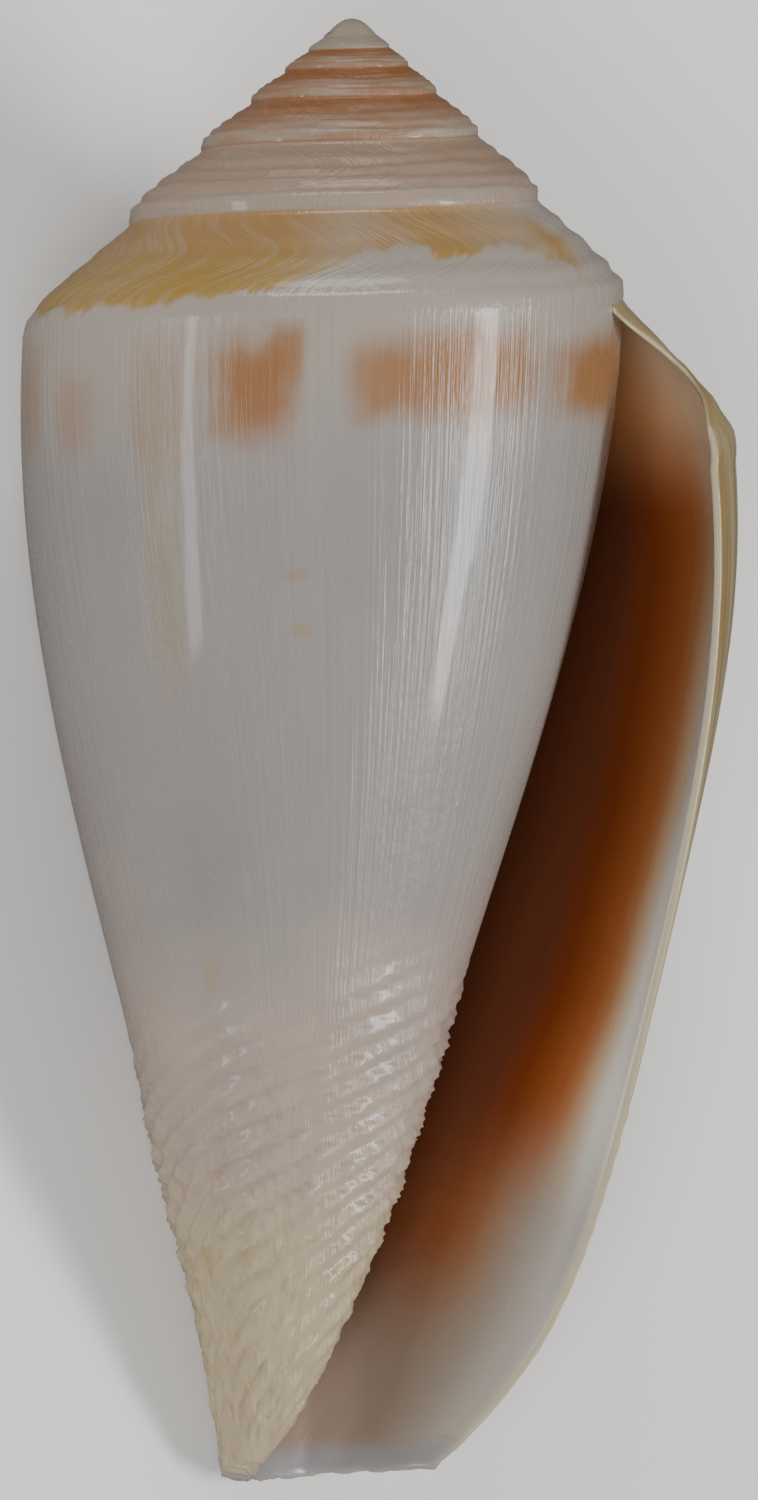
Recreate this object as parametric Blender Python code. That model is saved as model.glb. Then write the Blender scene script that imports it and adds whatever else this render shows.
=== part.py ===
"""One cone shell, grown as a single piece, lying on its back with the aperture side up.

The shell is one rolled sheet. Every point of it is a rule of two things: how far back from
the lip it lies along the spiral (in half turns) and how far down the profile (rows).
The rule counts 1463 steps along the shell, the apex at zero and depth growing down the axis.
"""

import math

import bpy
from mathutils import Matrix, Vector

# overall size and pose
shell_length = 42.0           # millimetres from apex to base
unit = shell_length / 1463.0  # the rule below counts 1463 steps along the shell

# counts of columns and rows
columns_per_turn = 40
spire_rows = 6
body_rows = 17
whorls = 6.6
open_columns = 13             # columns along which the canal is open at the base
chamber_columns = 44          # how far back the hollow is modelled

# growth of the shoulder
shoulder_radius = 392.0
growth = 0.368
growth_change = 0.005
spire_slope = 0.74
spire_curve = 0.00064
apex_round = 20.0             # width of the worn dome at the tip
step_share = 0.09             # height of the upright step under each shoulder

# how far the last whorl departs from a round section
back_flat = 0.08
front_full = 0.03

# the side on which the shell lies: a little flat, with three low knobs that touch the ground
rest_side = 118.5             # degrees round from the lip, looking down on the apex
rest_lean = 13.2              # degrees between that side and the shell's length
rest_reach = 432.0            # steps from the apex to the ground
rest_blend = 6.0              # steps over which the flat runs out into the round side
knob_height = 8.0
knob_width = (0.03, 40.0)     # half turns and steps of depth
knobs = ((0.704, 595.0), (0.554, 605.0), (0.531, 1135.0))

# wall
lip_thickness = 13.0
wall_thickness = 30.0


def smooth(edge_a, edge_b, value):
    share = min(1.0, max(0.0, (value - edge_a) / (edge_b - edge_a)))
    return share * share * (3.0 - 2.0 * share)


def shoulder(half_turns):
    turns = half_turns / 2.0
    return shoulder_radius * math.exp(-growth * turns - growth_change * turns * turns)


def swell(half_turns):
    """The last whorl is a little flat at the back and a little full in front."""
    wave = math.sin(math.pi * half_turns) ** 2
    if 0.0 < half_turns < 1.0:
        return 1.0 - back_flat * wave
    if 1.0 < half_turns < 2.0:
        return 1.0 + front_full * wave
    return 1.0


def shoulder_depth(radius):
    return spire_slope * radius ** 2 / math.hypot(radius, apex_round) + spire_curve * radius ** 2


def outline(depth_share):
    """Radius against the shoulder: at the lip, half a turn back and a full turn back."""
    s = depth_share
    s2 = s * s
    s3 = s2 * s
    s8 = s ** 8
    at_lip = 1.0 + 0.357 * s - 1.782 * s2 + 1.335 * s3 - 0.310 * s8
    at_half = 1.0 + 0.002 * s - 1.910 * s2 + 1.000 * s3 - 0.004 * s8
    at_full = 1.0 + 0.135 * s - 2.349 * s2 + 1.597 * s3 - 0.357 * s8
    return math.log(at_lip), math.log(at_half), math.log(max(at_full, 0.02))


def girth(half_turns, depth_share):
    """The profile between those three, without a break in slope."""
    first, middle, last = outline(depth_share)
    slope_a = 1.3 * (middle - first)
    slope_b = 0.5 * (last - first)
    a = min(1.0, max(0.0, half_turns))
    b = min(1.0, max(0.0, half_turns - 1.0))
    blend_a = a * a * (3.0 - 2.0 * a)
    blend_b = b * b * (3.0 - 2.0 * b)
    value = first + (middle - first) * blend_a
    value += slope_a * a * (1.0 - a) ** 2 - slope_b * a * a * (1.0 - a)
    value += (last - middle) * blend_b + slope_b * b * (1.0 - b) ** 2
    value += slope_a * min(0.0, half_turns)
    return math.exp(value)


def base_depth(half_turns):
    """Depth of the free edge at the base."""
    return 1440.0 + 26.0 * smooth(0.0, 0.5, half_turns) - 16.0 * smooth(0.8, 1.4, half_turns)


def swing(row_share):
    """Degrees by which the growth line leads the column, along the body."""
    return -20.0 + 28.0 * row_share ** 1.5 + 8.0 * row_share ** 10


def body_share(row):
    """Share of the body below the step for a row."""
    if row == spire_rows + 1:
        return 0.03
    step = (row - spire_rows - 1) / (body_rows - 1)
    return 0.03 + 0.97 * step


def centre_line(depth):
    return -90.0 * (max(0.0, depth - 232.0) / 1150.0) ** 1.25


def step_point(half_turns):
    radius = shoulder(half_turns)
    return radius * swell(half_turns), shoulder_depth(radius) + step_share * radius


def worn(half_turns, radius, depth):
    """The radius, held back where the side meets the ground."""
    if not 0.0 < half_turns < 1.6:
        return radius
    angle = math.pi * half_turns
    side = math.radians(rest_side)
    lean = math.radians(rest_lean)
    across = math.cos(side) * math.cos(lean)
    back = math.sin(side) * math.cos(lean)
    rising = math.sin(lean)
    facing = math.cos(angle) * (across + 0.04 * rising) + math.sin(angle) * back
    if facing < 0.2:
        return radius
    knob = 0.0
    for knob_half, knob_depth in knobs:
        aside = (half_turns - knob_half) / knob_width[0]
        along = (depth - knob_depth) / knob_width[1]
        knob += math.exp(-aside * aside - along * along)
    reach = rest_reach - knob_height * (1.0 - knob)
    limit = (reach - depth * rising - centre_line(depth) * across) / facing
    ease = max(0.0, 1.0 - abs(radius - limit) / rest_blend)
    return min(radius, limit) - ease * ease * rest_blend / 4.0


def profile(column, row, last_depth=None):
    """Half turns back, radius and depth of one place on the outer sheet."""
    half, radius, depth = full_profile(column, row, last_depth)
    return half, worn(half, radius, depth), depth


def full_profile(column, row, last_depth):
    """The same before the side on which it lies is flattened."""
    base = 2.0 * column / columns_per_turn
    if row <= spire_rows:
        share = row / spire_rows
        half = base + (-20.0 + 13.0 * math.sin(math.pi * share)) / 180.0
        radius = shoulder(half)
        corner = (radius * swell(half), shoulder_depth(radius))
        foot = step_point(half)
        start = step_point(half + 2.0)
        reach = 1.6 * step_share * radius / math.hypot(corner[0] - start[0], corner[1] - start[1])
        bend = tuple(c + (s - c) * reach for c, s in zip(corner, start))
        if share <= 0.5:
            part = share / 0.5
            return half, *(s + (b - s) * part for s, b in zip(start, bend))
        part = (share - 0.5) / 0.5
        return half, *((1 - part) ** 2 * b + 2 * part * (1 - part) * c + part ** 2 * f
                       for b, c, f in zip(bend, corner, foot))
    share = body_share(row)
    half = base + swing(share) / 180.0
    radius, top = step_point(half)
    bottom = base_depth(half)
    if last_depth is not None:
        reach = (min(last_depth, bottom) - top) / (bottom - top)
        share = 0.03 + (share - 0.03) * (reach - 0.03) / 0.97
    depth = top + (bottom - top) * share
    return half, radius * girth(half, share), depth


def place(half, radius, depth):
    """Into the upright frame: x right, y back, z up, apex at zero."""
    angle = math.pi * half
    x = radius * math.cos(angle)
    return Vector((x + centre_line(depth), radius * math.sin(angle), -(depth + 0.04 * x)))


def chamber_depth(column):
    """Where the hollow ends, for the columns behind the open canal."""
    if column <= open_columns:
        return None
    half = 2.0 * (column - open_columns) / columns_per_turn
    return 1440.0 - 420.0 * half ** 0.7


def outer(column, row):
    last = None
    if column > columns_per_turn and row > spire_rows:
        last = chamber_depth(column - columns_per_turn)
    return place(*profile(column, row, last))


def inner(column, row):
    """The lining, set in from the outer sheet by the wall."""
    last = chamber_depth(column)
    half, radius, depth = profile(column, row, last)
    below = profile(column + columns_per_turn, spire_rows + 1, last)
    above = profile(column + columns_per_turn, spire_rows)
    wall = lip_thickness + (wall_thickness - lip_thickness) * smooth(0, columns_per_turn / 6, column)
    wall *= math.exp(-0.12 * half)
    if row <= spire_rows:
        share = smooth(0.0, 1.0, row / spire_rows)
        drop = (below[2] - above[2]) * (1.0 - share) + wall * 0.4 * share
        inset = (above[1] - below[1]) * (1.0 - share) + wall * share
        dip = 4.0 * share * (1.0 - share)
        return place(half, radius - inset - 0.2 * wall * dip, depth + drop + 0.5 * wall * dip)
    core = profile(column + columns_per_turn, row, last)
    share = (row - spire_rows) / body_rows
    ease = wall * 0.4 * (1.0 - share)
    closing = smooth(0.55 * open_columns, open_columns, column) * share ** 6
    lining = max(radius - wall, core[1] + 3.0)
    return place(half, lining + (core[1] - lining) * closing, depth + ease)


def build_sheet():
    points = []
    index = {}
    last_column = int(columns_per_turn * whorls)
    last_row = spire_rows + body_rows

    def add(key, spot):
        index[key] = len(points)
        points.append(spot)

    for column in range(last_column + 1):
        bottom = last_row if column <= columns_per_turn + chamber_columns else spire_rows
        for row in range(bottom + 1):
            if row == 0 and column + columns_per_turn <= last_column:
                continue          # the same place as the step of the whorl before
            add(("o", column, row), outer(column, row))
    for column in range(last_column + 1):
        if column + columns_per_turn <= last_column:
            index["o", column, 0] = index["o", column + columns_per_turn, spire_rows]
    for column in range(chamber_columns + 1):
        for row in range(1, last_row):
            add(("i", column, row), inner(column, row))
        index["i", column, 0] = index["o", column + columns_per_turn, spire_rows + 1]
        if column < open_columns:
            add(("i", column, last_row), inner(column, last_row))
        else:
            index["i", column, last_row] = index["o", column + columns_per_turn, last_row]
    return points, index, last_column, last_row


def build_faces(points, index, last_column, last_row):
    faces = []

    def quad(a, b, c, d):
        loop = [index[k] for k in (a, b, c, d)]
        loop = [k for n, k in enumerate(loop) if k != loop[n - 1]]
        if len(set(loop)) < 3:
            return
        if len(loop) == 3:
            faces.append(loop)
            return
        one = (points[loop[0]] - points[loop[2]]).length
        two = (points[loop[1]] - points[loop[3]]).length
        if one <= two:
            faces.extend(([loop[0], loop[1], loop[2]], [loop[0], loop[2], loop[3]]))
        else:
            faces.extend(([loop[0], loop[1], loop[3]], [loop[1], loop[2], loop[3]]))

    for column in range(last_column):
        whole = column < columns_per_turn
        for row in range(last_row if whole else spire_rows):
            quad(("o", column, row), ("o", column, row + 1),
                 ("o", column + 1, row + 1), ("o", column + 1, row))
    for column in range(columns_per_turn, columns_per_turn + chamber_columns):
        for row in range(spire_rows + 1, last_row):
            quad(("o", column, row), ("o", column, row + 1),
                 ("o", column + 1, row + 1), ("o", column + 1, row))
    for column in range(chamber_columns):
        for row in range(last_row):
            quad(("i", column, row), ("i", column + 1, row),
                 ("i", column + 1, row + 1), ("i", column, row + 1))
    for row in range(last_row):
        quad(("o", 0, row), ("i", 0, row), ("i", 0, row + 1), ("o", 0, row + 1))
    for column in range(open_columns):
        quad(("o", column, last_row), ("i", column, last_row),
             ("i", column + 1, last_row), ("o", column + 1, last_row))

    # the blind end of the hollow, between the lining and the older whorl
    lining = [index["i", chamber_columns, row] for row in range(last_row + 1)]
    core = [index["o", columns_per_turn + chamber_columns, row]
            for row in range(spire_rows + 1, last_row + 1)]
    a = 0
    b = 0
    while a < len(lining) - 1 or b < len(core) - 1:
        ahead_a = (points[lining[min(a + 1, len(lining) - 1)]] - points[core[b]]).length
        ahead_b = (points[core[min(b + 1, len(core) - 1)]] - points[lining[a]]).length
        if b == len(core) - 1 or (a < len(lining) - 1 and ahead_a <= ahead_b):
            loop = [lining[a], core[b], lining[a + 1]]
            a += 1
        else:
            loop = [lining[a], core[b], core[b + 1]]
            b += 1
        if len(set(loop)) == 3:
            faces.append(loop)

    # the end of the pillar, and the apex
    ring = [index["o", column, last_row]
            for column in range(open_columns, open_columns + columns_per_turn + 1)]
    middle = sum((points[k] for k in ring), Vector()) / len(ring)
    points.append(middle + Vector((0.0, 0.0, 4.0)))
    for a, b in zip(ring, ring[1:] + ring[:1]):
        faces.append([a, len(points) - 1, b])
    first = last_column - columns_per_turn
    rim = [index["o", column, 0] for column in range(first + 1, last_column + 1)]
    rim += [index["o", last_column, row] for row in range(1, spire_rows + 1)]
    points.append(Vector((0.0, 0.0, 0.0)))
    for a, b in zip(rim, rim[1:] + rim[:1]):
        if a != b:
            faces.append([a, b, len(points) - 1])
    return faces


def main():
    for item in list(bpy.data.objects):
        bpy.data.objects.remove(item, do_unlink=True)
    points, index, last_column, last_row = build_sheet()
    faces = build_faces(points, index, last_column, last_row)
    turn = Matrix.Rotation(math.radians(rest_lean - 90.0), 4, "X")
    turn = turn @ Matrix.Rotation(math.radians(90.0 - rest_side), 4, "Z")
    spots = [turn @ (spot * unit * 0.001) for spot in points]
    low = [min(spot[axis] for spot in spots) for axis in range(3)]
    high = [max(spot[axis] for spot in spots) for axis in range(3)]
    shift = Vector(((low[0] + high[0]) / 2.0, (low[1] + high[1]) / 2.0, low[2]))
    spots = [spot - shift for spot in spots]
    mesh = bpy.data.meshes.new("shell")
    mesh.from_pydata([tuple(spot) for spot in spots], [], faces)
    mesh.validate()
    mesh.update()
    mesh.shade_smooth()
    shell = bpy.data.objects.new("shell", mesh)
    bpy.context.collection.objects.link(shell)
    cover = bpy.data.materials.new("shell surface")
    cover.use_nodes = True
    cover.node_tree.nodes["Principled BSDF"].inputs["Base Color"].default_value = (0.62, 0.55, 0.48, 1)
    cover.node_tree.nodes["Principled BSDF"].inputs["Roughness"].default_value = 0.3
    mesh.materials.append(cover)


main()
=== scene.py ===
import math

import bpy
from mathutils import Matrix, Vector


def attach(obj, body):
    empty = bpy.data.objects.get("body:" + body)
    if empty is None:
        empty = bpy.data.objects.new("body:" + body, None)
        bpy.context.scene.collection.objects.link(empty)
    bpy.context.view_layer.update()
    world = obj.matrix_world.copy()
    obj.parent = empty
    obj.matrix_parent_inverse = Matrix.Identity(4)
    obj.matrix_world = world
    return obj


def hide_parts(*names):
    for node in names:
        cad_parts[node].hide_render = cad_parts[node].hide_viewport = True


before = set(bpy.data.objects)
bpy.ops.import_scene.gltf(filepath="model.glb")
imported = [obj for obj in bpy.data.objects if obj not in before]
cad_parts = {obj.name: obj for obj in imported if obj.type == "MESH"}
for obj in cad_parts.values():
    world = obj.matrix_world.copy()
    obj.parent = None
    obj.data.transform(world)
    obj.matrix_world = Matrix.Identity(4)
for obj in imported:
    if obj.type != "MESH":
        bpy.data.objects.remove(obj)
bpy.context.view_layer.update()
print("frame loaded, building the shell")

# The shell is one rolled sheet. Its rule counts in steps, with the apex at depth 0.
# "half" is how far back along the spiral a place lies, in half turns from the right side.
# "down" runs 0 to 1 from the suture over the shoulder, and 1 to 2 from there to the base.
stepsLong = 1463.0           # from apex to base
noLimit = 9999.0             # further than any place on the shell

shellShape = {
    "Shell length": 0.042,
    "Shoulder radius": 392.0,
    "Growth": 0.368,
    "Growth change": 0.005,
    "Spire slope": 0.74,
    "Spire curve": 0.00064,
    "Apex round": 20.0,
    "Step share": 0.09,
    "Back flat": 0.08,
    "Front full": 0.03,
    "Lip thickness": 10.0,
    "Wall thickness": 28.0,
}

# How the last turn narrows from 1 at the shoulder. The numbers go with the share of the way down,
# its square, its cube and its eighth power.
girths = {
    "lip": (0.357, -1.782, 1.335, -0.31),
    "halfTurn": (0.002, -1.91, 1.0, -0.004),
    "fullTurn": (0.135, -2.349, 1.597, -0.357),
}

shellLines = {
    "lead": 20.0,            # degrees by which a growth line starts ahead, under the shoulder
    "bodySweep": (28.0, 8.0),    # degrees it falls back down the body, evenly and near the base
    "rampBow": 13.0,         # degrees it bows back over the shoulder
    "levelSlope": 0.04,      # fall of each whorl's level towards the lip
    "axisBend": 90.0,        # steps by which the axis leans to the left at the base
    "axisStart": 232.0,      # depth from which it leans
    "axisLength": 1150.0,    # steps over which it leans
    "baseDepth": 1440.0,     # depth of the free edge at the lip
    "edgeDip": (18.0, 14.0),     # steps by which it dips beside the lip and climbs at the pillar
    "hollowClimb": (420.0, 0.7),     # climb of the hollow's floor behind the canal, and its bend
    "pillarEnd": 1400.0,     # depth from which the tip of the pillar is smooth
}

shellRelief = {
    "Thread height": 2.8,    # spiral threads on the spire
    "Growth height": 0.8,    # lines across the growth
    "Cord height": 7.5,      # spiral cords towards the base
    "Net height": 2.6,       # the loose net they break into
    "Wave height": 1.8,      # slow waves of the whole sheet
    "Step height": 5.0,      # swelling above each seam of the spire
    "Edge chips": 3.0,       # roughness of the free edge at the base
    "Seed": 7.0,
}

reliefPlaces = {
    "threads": 5.2,          # on each turn of the spire
    "cordStart": 905.0,      # depth of the first cord beside the opening
    "cordLag": 85.0,         # steps by which cords start later on the far side
    "cordGap": 0.0262,       # between two cords, as a share of their depth
    "cordSlant": 0.215,      # their climb towards the opening, in each half turn
    "netFrom": (1080.0, 1200.0),
    "wrinklesFrom": (1200.0, 1360.0),
}

sheetCounts = {
    "columns": 216,          # per turn
    "whorls": 6.6,
    "rampRows": 22,
    "bodyRows": 146,
    "chamberColumns": 84,
    "openColumns": 70,
    "firstShare": 0.006,     # thickness of the wall where it meets the older whorl
}

restPose = {
    "side": 118.5,           # degrees round from the lip to the side it lies on
    "lean": 13.2,            # degrees between that side and the length
    "reach": 432.0,          # steps from the apex to the ground
    "blend": 6.0,            # steps over which the flat of that side runs out
    "knobs": ((0.704, 595.0), (0.554, 605.0), (0.531, 1135.0)),  # half turns back and depth
    "knobSize": (0.03, 40.0),
    "knobHeight": 8.0,
    "shift": (0.000662, -0.020308, -0.012402),
}


# numbers that vary over a mesh or a material, written as ordinary sums


class Field:
    def __init__(self, tree, socket):
        self.tree = tree
        self.socket = socket

    def __add__(self, other):
        return sumOf("ADD", self, other)

    def __radd__(self, other):
        return sumOf("ADD", other, self)

    def __sub__(self, other):
        return sumOf("SUBTRACT", self, other)

    def __rsub__(self, other):
        return sumOf("SUBTRACT", other, self)

    def __mul__(self, other):
        return sumOf("MULTIPLY", self, other)

    def __rmul__(self, other):
        return sumOf("MULTIPLY", other, self)

    def __truediv__(self, other):
        return sumOf("DIVIDE", self, other)

    def __neg__(self):
        return sumOf("MULTIPLY", self, -1.0)


def plug(tree, item, slot):
    # a number, a field or an output socket into an input socket
    if isinstance(item, Field):
        tree.links.new(item.socket, slot)
    elif isinstance(item, (int, float, tuple)):
        slot.default_value = item
    else:
        tree.links.new(item, slot)


def sumOf(operation, *items):
    tree = next(item.tree for item in items if isinstance(item, Field))
    node = tree.nodes.new("ShaderNodeMath")
    node.operation = operation
    for slot, item in zip(node.inputs, items):
        plug(tree, item, slot)
    return Field(tree, node.outputs[0])


def lower(a, b):
    return sumOf("MINIMUM", a, b)


def upper(a, b):
    return sumOf("MAXIMUM", a, b)


def unsigned(a):
    return sumOf("ABSOLUTE", a)


def sine(a):
    return sumOf("SINE", a)


def cosine(a):
    return sumOf("COSINE", a)


def power(a, b):
    return sumOf("POWER", a, b)


def logOf(a):
    return sumOf("LOGARITHM", a, math.e)


def above(a, limit):
    return sumOf("GREATER_THAN", a, limit)


def blend(share, a, b):
    return a + share * (b - a)


def rise(value, low, high):
    # 0 at low and 1 at high, smooth in between
    node = value.tree.nodes.new("ShaderNodeMapRange")
    node.interpolation_type = "SMOOTHSTEP"
    node.clamp = True
    plug(value.tree, value, node.inputs["Value"])
    node.inputs["From Min"].default_value = low
    node.inputs["From Max"].default_value = high
    return Field(value.tree, node.outputs["Result"])


def hill(value, centre, width):
    # 1 at the centre, nearly 0 at twice the width
    away = (value - centre) / width
    return power(math.e, -(away * away))


def point(tree, x, y, z=0.0):
    node = tree.nodes.new("ShaderNodeCombineXYZ")
    for slot, item in zip(node.inputs, (x, y, z)):
        plug(tree, item, slot)
    return node.outputs[0]


def cloudy(x, y, z=0.0, detail=2.0, rough=0.5):
    # even noise between 0 and 1 at a place given by three numbers
    tree = x.tree
    node = tree.nodes.new("ShaderNodeTexNoise")
    node.inputs["Scale"].default_value = 1.0
    node.inputs["Detail"].default_value = detail
    node.inputs["Roughness"].default_value = rough
    plug(tree, point(tree, x, y, z), node.inputs["Vector"])
    return Field(tree, node.outputs[0])


def cellEdge(x, y, z=0.0):
    # distance to the edge of a net of uneven cells
    tree = x.tree
    node = tree.nodes.new("ShaderNodeTexVoronoi")
    node.feature = "DISTANCE_TO_EDGE"
    node.inputs["Scale"].default_value = 1.0
    plug(tree, point(tree, x, y, z), node.inputs["Vector"])
    return Field(tree, node.outputs["Distance"])


def numberGroup(name, inputs, outputs, rule):
    # a node group for meshes that takes numbers and gives numbers
    tree = bpy.data.node_groups.new(name, "GeometryNodeTree")
    for item in inputs:
        tree.interface.new_socket(item, in_out="INPUT", socket_type="NodeSocketFloat")
    for item in outputs:
        tree.interface.new_socket(item, in_out="OUTPUT", socket_type="NodeSocketFloat")
    start = tree.nodes.new("NodeGroupInput")
    end = tree.nodes.new("NodeGroupOutput")
    results = rule({item: Field(tree, start.outputs[item]) for item in inputs})
    for item, result in zip(outputs, results):
        plug(tree, result, end.inputs[item])
    return tree


def called(group, values):
    # the results of a group, from the values that it has inputs for
    tree = next(item.tree for item in values.values() if isinstance(item, Field))
    node = tree.nodes.new("GeometryNodeGroup")
    node.node_tree = group
    for name, value in values.items():
        if name in node.inputs:
            plug(tree, value, node.inputs[name])
    return [Field(tree, output) for output in node.outputs]


# the sheet before it is rolled: only columns, rows and which side


def rowDowns():
    counts = sheetCounts
    downs = [row / counts["rampRows"] for row in range(counts["rampRows"] + 1)]
    first = counts["firstShare"]
    body = counts["bodyRows"]
    for row in range(body):
        step = row / (body - 1)
        share = 1.62 * step - 0.62 * step ** 1.7  # rows close up towards the base
        downs.append(1.0 + first + (1.0 - first) * share)
    return downs


class FlatSheet:
    # Each place has a key: "o" for the outer wall or "i" for the inner one, then column and row.
    def __init__(self):
        self.perTurn = sheetCounts["columns"]
        self.ramp = sheetCounts["rampRows"]
        self.chamber = sheetCounts["chamberColumns"]
        self.opened = sheetCounts["openColumns"]
        self.downs = rowDowns()
        self.lastRow = len(self.downs) - 1
        self.lastColumn = int(self.perTurn * sheetCounts["whorls"])
        self.places = []         # base, down, lining, last depth, width pull, depth pull
        self.index = {}
        self.faces = []
        self.corners = []
        self.addWalls()
        self.faceWalls()
        self.roundRims()
        self.closeHollow()
        self.closePillar()
        self.closeApex()

    def base(self, column):
        return 2.0 * column / self.perTurn

    def hollowEnd(self, column):
        # how deep the hollow reaches
        back = column - self.opened
        climb, bend = shellLines["hollowClimb"]
        return noLimit if back <= 0 else shellLines["baseDepth"] - climb * self.base(back) ** bend

    def add(self, key, base, down, lining=0.0, last=noLimit, widthPull=1.0, depthPull=1.0):
        self.index[key] = len(self.places)
        self.places.append((base, down, lining, last, widthPull, depthPull))

    def face(self, *corners):
        # each corner is (key, base, down), and corners at one place are taken once
        loop = []
        for key, base, down in corners:
            number = self.index[key]
            if not loop or number != loop[-1][0]:
                loop.append((number, base, down))
        if len(loop) > 1 and loop[0][0] == loop[-1][0]:
            loop.pop()
        if len({number for number, base, down in loop}) < 3:
            return
        self.faces.append([number for number, base, down in loop])
        self.corners.extend((base, down) for number, base, down in loop)

    def addWalls(self):
        perTurn, ramp, lastRow, lastColumn = self.perTurn, self.ramp, self.lastRow, self.lastColumn
        for column in range(lastColumn + 1):
            bottom = lastRow if column <= perTurn + self.chamber else ramp
            for row in range(bottom + 1):
                if row == 0 and column + perTurn <= lastColumn:
                    continue
                inside = column > perTurn and row > ramp
                last = self.hollowEnd(column - perTurn) if inside else noLimit
                self.add(("o", column, row), self.base(column), self.downs[row], 0.0, last)
        for column in range(lastColumn - perTurn + 1):
            self.index["o", column, 0] = self.index["o", column + perTurn, ramp]
        for column in range(self.chamber + 1):
            for row in range(1, lastRow):
                last = self.hollowEnd(column)
                self.add(("i", column, row), self.base(column), self.downs[row], 1.0, last)
            self.index["i", column, 0] = self.index["o", column + perTurn, ramp + 1]
            if column < self.opened:
                self.add(("i", column, lastRow), self.base(column), self.downs[lastRow], 1.0)
            else:
                self.index["i", column, lastRow] = self.index["o", column + perTurn, lastRow]

    def wallFace(self, side, column, row):
        loop = [(column, row), (column, row + 1), (column + 1, row + 1), (column + 1, row)]
        if side == "i":
            loop = [loop[0], loop[3], loop[2], loop[1]]
        self.face(*(((side, a, b), self.base(a), self.downs[b]) for a, b in loop))

    def faceWalls(self):
        for column in range(self.lastColumn):
            for row in range(self.lastRow if column < self.perTurn else self.ramp):
                self.wallFace("o", column, row)
        for column in range(self.perTurn, self.perTurn + self.chamber):
            for row in range(self.ramp + 1, self.lastRow):
                self.wallFace("o", column, row)
        for column in range(self.chamber):
            for row in range(self.lastRow):
                self.wallFace("i", column, row)

    def rimKey(self, part, place, step, steps):
        # a rim starts on the outer wall and ends on the inner one
        if 0 < step <= steps:
            return part, place, step
        side = "o" if step == 0 else "i"
        return (side, 0, place) if part == "lip" else (side, place, self.lastRow)

    def roundRims(self):
        # the lip, and the free edge at the base
        arcs = [math.radians(angle) for angle in (36.0, 72.0, 108.0, 144.0)]
        steps = len(arcs)
        lipRound = 0.0055
        baseRound = 0.0045
        lastRow, opened = self.lastRow, self.opened
        for row in range(1, lastRow):
            for step, arc in enumerate(arcs, 1):
                lining = (1.0 - math.cos(arc)) / 2.0
                self.add(("lip", row, step), -lipRound * math.sin(arc), self.downs[row], lining)
        for column in range(opened):
            for step, arc in enumerate(arcs, 1):
                lining = (1.0 - math.cos(arc)) / 2.0
                forward = lipRound * math.sin(arc) if column == 0 else 0.0
                down = 2.0 + baseRound * math.sin(arc)
                self.add(("base", column, step), self.base(column) - forward, down, lining)
        for step in range(1, steps + 1):
            side = "o" if step < 3 else "i"
            self.index["lip", lastRow, step] = self.index["base", 0, step]
            self.index["lip", 0, step] = self.index[side, 0, 0]
            self.index["base", opened, step] = self.index[side, opened, lastRow]
        for step in range(steps + 1):
            for row in range(lastRow):
                loop = [(row, step), (row, step + 1), (row + 1, step + 1), (row + 1, step)]
                self.face(*((self.rimKey("lip", a, b, steps), 0.0, self.downs[a]) for a, b in loop))
            for column in range(opened):
                loop = [(column, step), (column, step + 1), (column + 1, step + 1), (column + 1, step)]
                self.face(*((self.rimKey("base", a, b, steps), self.base(a), 2.0) for a, b in loop))

    def closeHollow(self):
        # its blind end, far out of sight
        chamber, ramp, downs = self.chamber, self.ramp, self.downs
        base = self.base(chamber)
        core = self.perTurn + chamber
        for row in range(self.lastRow):
            upperCore = ("o", core, max(row, ramp + 1))
            lowerCore = ("o", core, max(row + 1, ramp + 1))
            self.face((("i", chamber, row), base, downs[row]), (upperCore, base, downs[row]),
                      (lowerCore, base, downs[row + 1]), (("i", chamber, row + 1), base, downs[row + 1]))

    def closeRing(self, name, ring, pulls, outward):
        # rings that shrink to one point, each with a pull in width and in depth
        keys = list(ring)
        for order, (widthPull, depthPull) in enumerate(pulls):
            nextKeys = []
            for place, key in enumerate(ring):
                new = (name, order, place)
                base, down, lining, last = self.places[self.index[key]][:4]
                if widthPull == 0.0 and place > 0:
                    self.index[new] = self.index[name, order, 0]
                else:
                    self.add(new, base, down, 0.0, last, widthPull, depthPull)
                nextKeys.append(new)
            for a in range(len(ring)):
                b = (a + 1) % len(ring)
                quad = [keys[a], nextKeys[a], nextKeys[b], keys[b]]
                if not outward:
                    quad.reverse()
                self.face(*((key, *self.places[self.index[key]][:2]) for key in quad))
            keys = nextKeys

    def closePillar(self):
        ring = [("o", column, self.lastRow) for column in range(self.opened, self.opened + self.perTurn + 1)]
        self.closeRing("tip", ring, ((0.7, 1.001), (0.4, 1.0015), (0.0, 1.002)), True)

    def closeApex(self):
        firstColumn = self.lastColumn - self.perTurn + 1
        ring = [("o", column, 0) for column in range(firstColumn, self.lastColumn + 1)]
        ring += [("o", self.lastColumn, row) for row in range(1, self.ramp)]
        self.closeRing("apex", ring, ((0.8, 0.66), (0.55, 0.33), (0.3, 0.11), (0.0, 0.0)), False)


def sheetObject():
    flat = FlatSheet()
    mesh = bpy.data.meshes.new("shell")
    mesh.from_pydata([place[:3] for place in flat.places], [], flat.faces)
    for order, name in enumerate(("base", "down", "lining", "last", "widthPull", "depthPull")):
        layer = mesh.attributes.new(name, "FLOAT", "POINT")
        layer.data.foreach_set("value", [place[order] for place in flat.places])
    # growth map: u is half turns back from the lip, v is the way down
    growthMap = mesh.uv_layers.new(name="growth")
    growthMap.data.foreach_set("uv", [number for corner in flat.corners for number in corner])
    sheet = bpy.data.objects.new("flatSheet", mesh)
    bpy.context.collection.objects.link(sheet)
    return sheet


# the rule that rolls the sheet


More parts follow.
